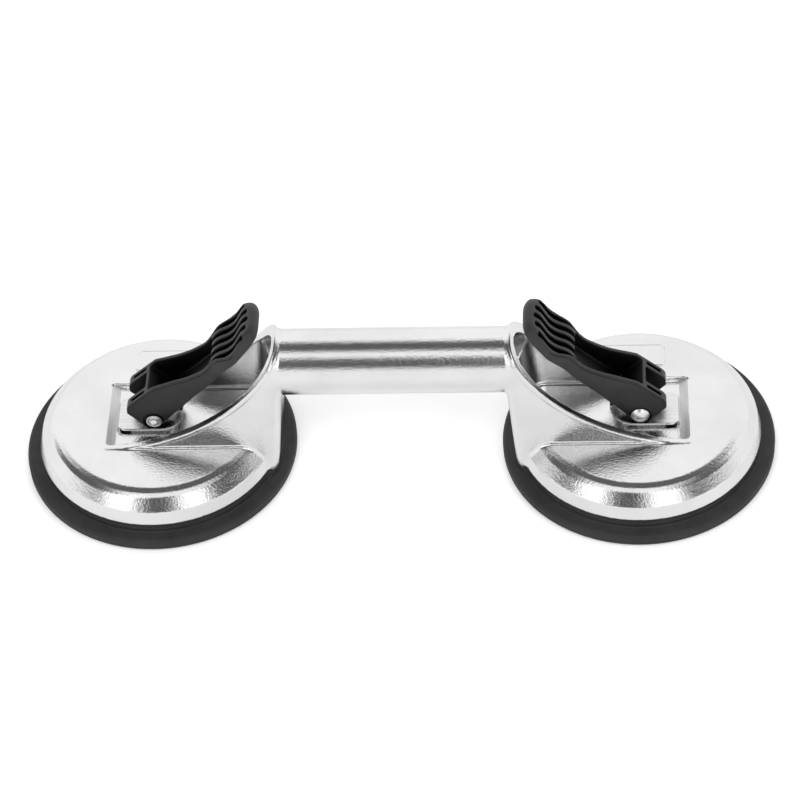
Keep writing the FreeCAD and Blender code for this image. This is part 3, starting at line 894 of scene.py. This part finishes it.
plateSet = {
    "thickness": 1.2,
    "top": 22.6,
    "halfWidth": 9.0,
    "foot": (17.6, 20.2),              # outer face and underside of the turned-down end
    "footRise": 0.4,
    "bend": 1.2,
    "corner": 3.0,
    "curl": (-1.0, 10.2, 95.0),        # where it starts, radius of its inside, degrees
    "slot": (-5.3, 6.5, 4.5),
    "edge": 0.3,
    "flat": (15.3, 14.9, 14.4, 13, 10, 6.5, 3, 0),      # cross lines from the foot to the curl
    "across": (-1, -0.985, -0.94, -0.8, -0.65, -0.5, -0.25, 0, 0.25, 0.5, 0.65, 0.8, 0.94, 0.985, 1),
}


def platePath():
    # The middle line of the plate, from the foot over the flat and up the curl
    c = plateSet
    middle = c["top"] - c["thickness"] / 2
    footX, footZ = c["foot"]
    footX -= c["thickness"] / 2
    bend = c["bend"]
    path = [(footX, footZ), (footX, footZ + c["footRise"])]
    for turn in np.radians(np.linspace(0, 90, 7)):
        path.append((footX - bend + bend * math.cos(turn), middle - bend + bend * math.sin(turn)))
    path += [(x, middle) for x in c["flat"]]
    curlX, curlRadius, curlTurn = c["curl"]
    radius = curlRadius + c["thickness"] / 2
    slotTurn = math.degrees(math.asin((curlX - c["slot"][0]) / radius))
    turns = list(np.linspace(0, slotTurn, 4)) + list(np.linspace(slotTurn, curlTurn, 17)[1:])
    for turn in np.radians(turns):
        path.append((curlX - radius * math.sin(turn), middle + radius * (1 - math.cos(turn))))
    return path


def plateHalf(x):
    # Half the width at one place along the plate, less at the rounded corners of its foot
    c = plateSet
    corner = c["corner"]
    past = x + c["thickness"] / 2 - c["foot"][0] + corner
    if past <= 0:
        return c["halfWidth"]
    return c["halfWidth"] - corner + math.sqrt(corner ** 2 - min(past, corner - 0.3) ** 2)


def makePlate(end, finish):
    c = plateSet
    path, shares, side = platePath(), c["across"], ends[end]
    slotLow, slotHigh, slotHalf = c["slot"]
    body = bmesh.new()
    rows = []
    for x, z in path:
        across = side * (x + castingSet["halfSpacing"])
        spots = [(across, side * plateHalf(x) * share, z) for share in shares]
        rows.append([body.verts.new(Vector(spot) * millimetre) for spot in spots])
    for i in range(len(path) - 1):
        x = (path[i][0] + path[i + 1][0]) / 2
        slotted = slotLow < x < slotHigh and path[i][1] < c["top"] + 3
        for j in range(len(shares) - 1):
            middle = (shares[j] + shares[j + 1]) / 2
            if not (slotted and abs(middle) * c["halfWidth"] < slotHalf):
                body.faces.new((rows[i][j], rows[i + 1][j], rows[i + 1][j + 1], rows[i][j + 1]))
    bmesh.ops.delete(body, geom=[v for v in body.verts if not v.link_faces], context="VERTS")
    bmesh.ops.recalc_face_normals(body, faces=body.faces)
    mesh = bpy.data.meshes.new(end + "Plate")
    body.to_mesh(mesh)
    body.free()
    piece = linked(end + "Plate", mesh)
    thick = piece.modifiers.new("thickness", "SOLIDIFY")
    thick.thickness = c["thickness"] * millimetre
    thick.offset = 0
    thick.use_even_offset = True
    edge = piece.modifiers.new("edge", "BEVEL")
    edge.width = c["edge"] * millimetre
    edge.segments = 2
    edge.limit_method = "ANGLE"
    edge.angle_limit = math.radians(50)
    applied(piece)
    smoothShade(piece.data)
    piece.data.set_sharp_from_angle(angle=math.radians(40))
    standsFor(piece, end + "_wear_plate", finish)


def dressHidden(finish):
    # The steel inside each cup keeps its CAD shape
    for end in ends:
        for name in ("_yoke", "_insert_disc", "_cup_stud"):
            node = frame["nodes"][end + name]
            node.data.materials.clear()
            node.data.materials.append(finish)


# Studio

studioSet = {
    "floorSize": 6.0,
    "floorDrop": 0.0002,
    "floorColour": (0.97, 0.97, 0.97),
    "floorRoughness": 0.9,
    "floorGlow": 0.3,
    "worldLight": 0.5,
    "cardRadius": 1.65,
    "cards": [
        # name, degrees round from the front, degrees above the horizon, glow
        ("frontFlag", (-25, 12), (21, 56), 0.12),
        ("leftFlag", (-115, -53), (21, 56), 0.12),
        ("rightFlag", (42, 95), (21, 56), 0.12),
        ("leftBox", (-53, -25), (21, 56), 1.5),
        ("rightBox", (12, 42), (21, 56), 1.5),
        ("lowFlag", (-60, 60), (14, 16), 0.3),
    ],
    "roofFlag": (1.6, -0.32, 0.73, 0.12),     # half its length, near edge, far edge, glow
    "lamps": [
        # name, place, size, watts
        ("key", (-0.7, -0.9, 1.5), 1.0, 9),
        ("fill", (0.9, -0.6, 1.3), 0.8, 6),
        ("back", (0.0, 1.2, 1.2), 1.0, 6),
    ],
}


def addLamp(name, place, size, watts):
    data = bpy.data.lights.new(name, "AREA")
    data.shape = "RECTANGLE"
    data.size = size
    data.size_y = size
    data.energy = watts
    lamp = bpy.data.objects.new(name, data)
    lamp.location = place
    lamp.rotation_mode = "QUATERNION"
    lamp.rotation_quaternion = (Vector((0, 0, 0.02)) - Vector(place)).to_track_quat("-Z", "Y")
    lamp.visible_glossy = False
    bpy.context.scene.collection.objects.link(lamp)


def whiteWhenSeen(tree, seen, plain, output, socket):
    # White to the camera, to gloss and through glass; plain light for the rest
    path = addNode(tree, "ShaderNodeLightPath")
    either = mathNode(tree, "MAXIMUM", path.outputs["Is Camera Ray"], path.outputs["Is Glossy Ray"])
    anySeen = mathNode(tree, "MAXIMUM", either, path.outputs["Is Transmission Ray"])
    mix = addNode(tree, "ShaderNodeMixShader")
    tree.links.new(anySeen, mix.inputs["Fac"])
    tree.links.new(plain, mix.inputs[1])
    tree.links.new(seen, mix.inputs[2])
    tree.links.new(mix.outputs[0], output.inputs[socket])


def addWorld():
    world = bpy.data.worlds.new("studioWorld")
    bpy.context.scene.world = world
    world.use_nodes = True
    tree = world.node_tree
    plain = tree.nodes["Background"]
    plain.inputs["Color"].default_value = (1, 1, 1, 1)
    plain.inputs["Strength"].default_value = studioSet["worldLight"]
    seen = addNode(tree, "ShaderNodeBackground")
    seen.inputs["Color"].default_value = (1, 1, 1, 1)
    seen.inputs["Strength"].default_value = 1.0
    whiteWhenSeen(tree, seen.outputs[0], plain.outputs[0], tree.nodes["World Output"], "Surface")


def addFloor():
    mesh = bpy.data.meshes.new("floor")
    half = studioSet["floorSize"] / 2
    corners = [(-half, -half, 0), (half, -half, 0), (half, half, 0), (-half, half, 0)]
    mesh.from_pydata(corners, [], [(0, 1, 2, 3)])
    floor = linked("floor", mesh)
    floor.location.z = -studioSet["floorDrop"]
    material, tree, shader = newMaterial("paleFloor")
    shader.inputs["Base Color"].default_value = (*studioSet["floorColour"], 1)
    shader.inputs["Roughness"].default_value = studioSet["floorRoughness"]
    shader.inputs["Emission Color"].default_value = (1, 1, 1, 1)
    path = addNode(tree, "ShaderNodeLightPath")
    glow = mathNode(tree, "MULTIPLY", path.outputs["Is Camera Ray"], studioSet["floorGlow"])
    tree.links.new(glow, shader.inputs["Emission Strength"])
    mesh.materials.append(material)


def addCard(name, rows, glowing):
    # A sheet seen only in reflections, through rows of points
    material = bpy.data.materials.new(name)
    material.use_nodes = True
    tree = material.node_tree
    tree.nodes.remove(tree.nodes["Principled BSDF"])
    glow = addNode(tree, "ShaderNodeEmission")
    glow.inputs["Color"].default_value = (1, 1, 1, 1)
    glow.inputs["Strength"].default_value = glowing
    tree.links.new(glow.outputs[0], tree.nodes["Material Output"].inputs["Surface"])
    wide = len(rows[0])
    faces = [(i * wide + j, i * wide + j + 1, (i + 1) * wide + j + 1, (i + 1) * wide + j)
             for i in range(len(rows) - 1) for j in range(wide - 1)]
    mesh = bpy.data.meshes.new(name)
    mesh.from_pydata([point for row in rows for point in row], [], faces)
    mesh.materials.append(material)
    card = linked(name, mesh)
    card.visible_camera = False
    card.visible_diffuse = False
    card.visible_shadow = False


def addCards():
    # Flags and softboxes round the object, at the places where its curved metal shows them
    radius = studioSet["cardRadius"]
    for name, around, above, glowing in studioSet["cards"]:
        turns = np.radians(np.linspace(*around, 9))
        rows = []
        for high in np.radians(np.linspace(*above, 5)):
            wide, z = radius * math.cos(high), radius * math.sin(high)
            rows.append([(wide * math.sin(turn), -wide * math.cos(turn), z) for turn in turns])
        addCard(name, rows, glowing)
    reach, near, far, glowing = studioSet["roofFlag"]
    addCard("roofFlag", [[(-reach, y, radius), (reach, y, radius)] for y in (near, far)], glowing)


addCamera()
aluminium = polishedAluminium()
steel = grainedSteel("brightSteel", steelLook)
hammered = grainedSteel("hammeredSteel", hammeredLook)
plastic = mouldedPlastic()
rubber = mouldedRubber()
print("camera and finishes ready")
dressHidden(steel)
makeCasting(aluminium)
makeLevers(plastic)
for end in ends:
    makeRubber(end, rubber)
    makePin(end, hammered, steel)
    makePlate(end, steel)
print("pieces ready")
addWorld()
addFloor()
addCards()
for lampSet in studioSet["lamps"]:
    addLamp(*lampSet)
bpy.context.scene.view_settings.view_transform = "Standard"
print("studio ready")
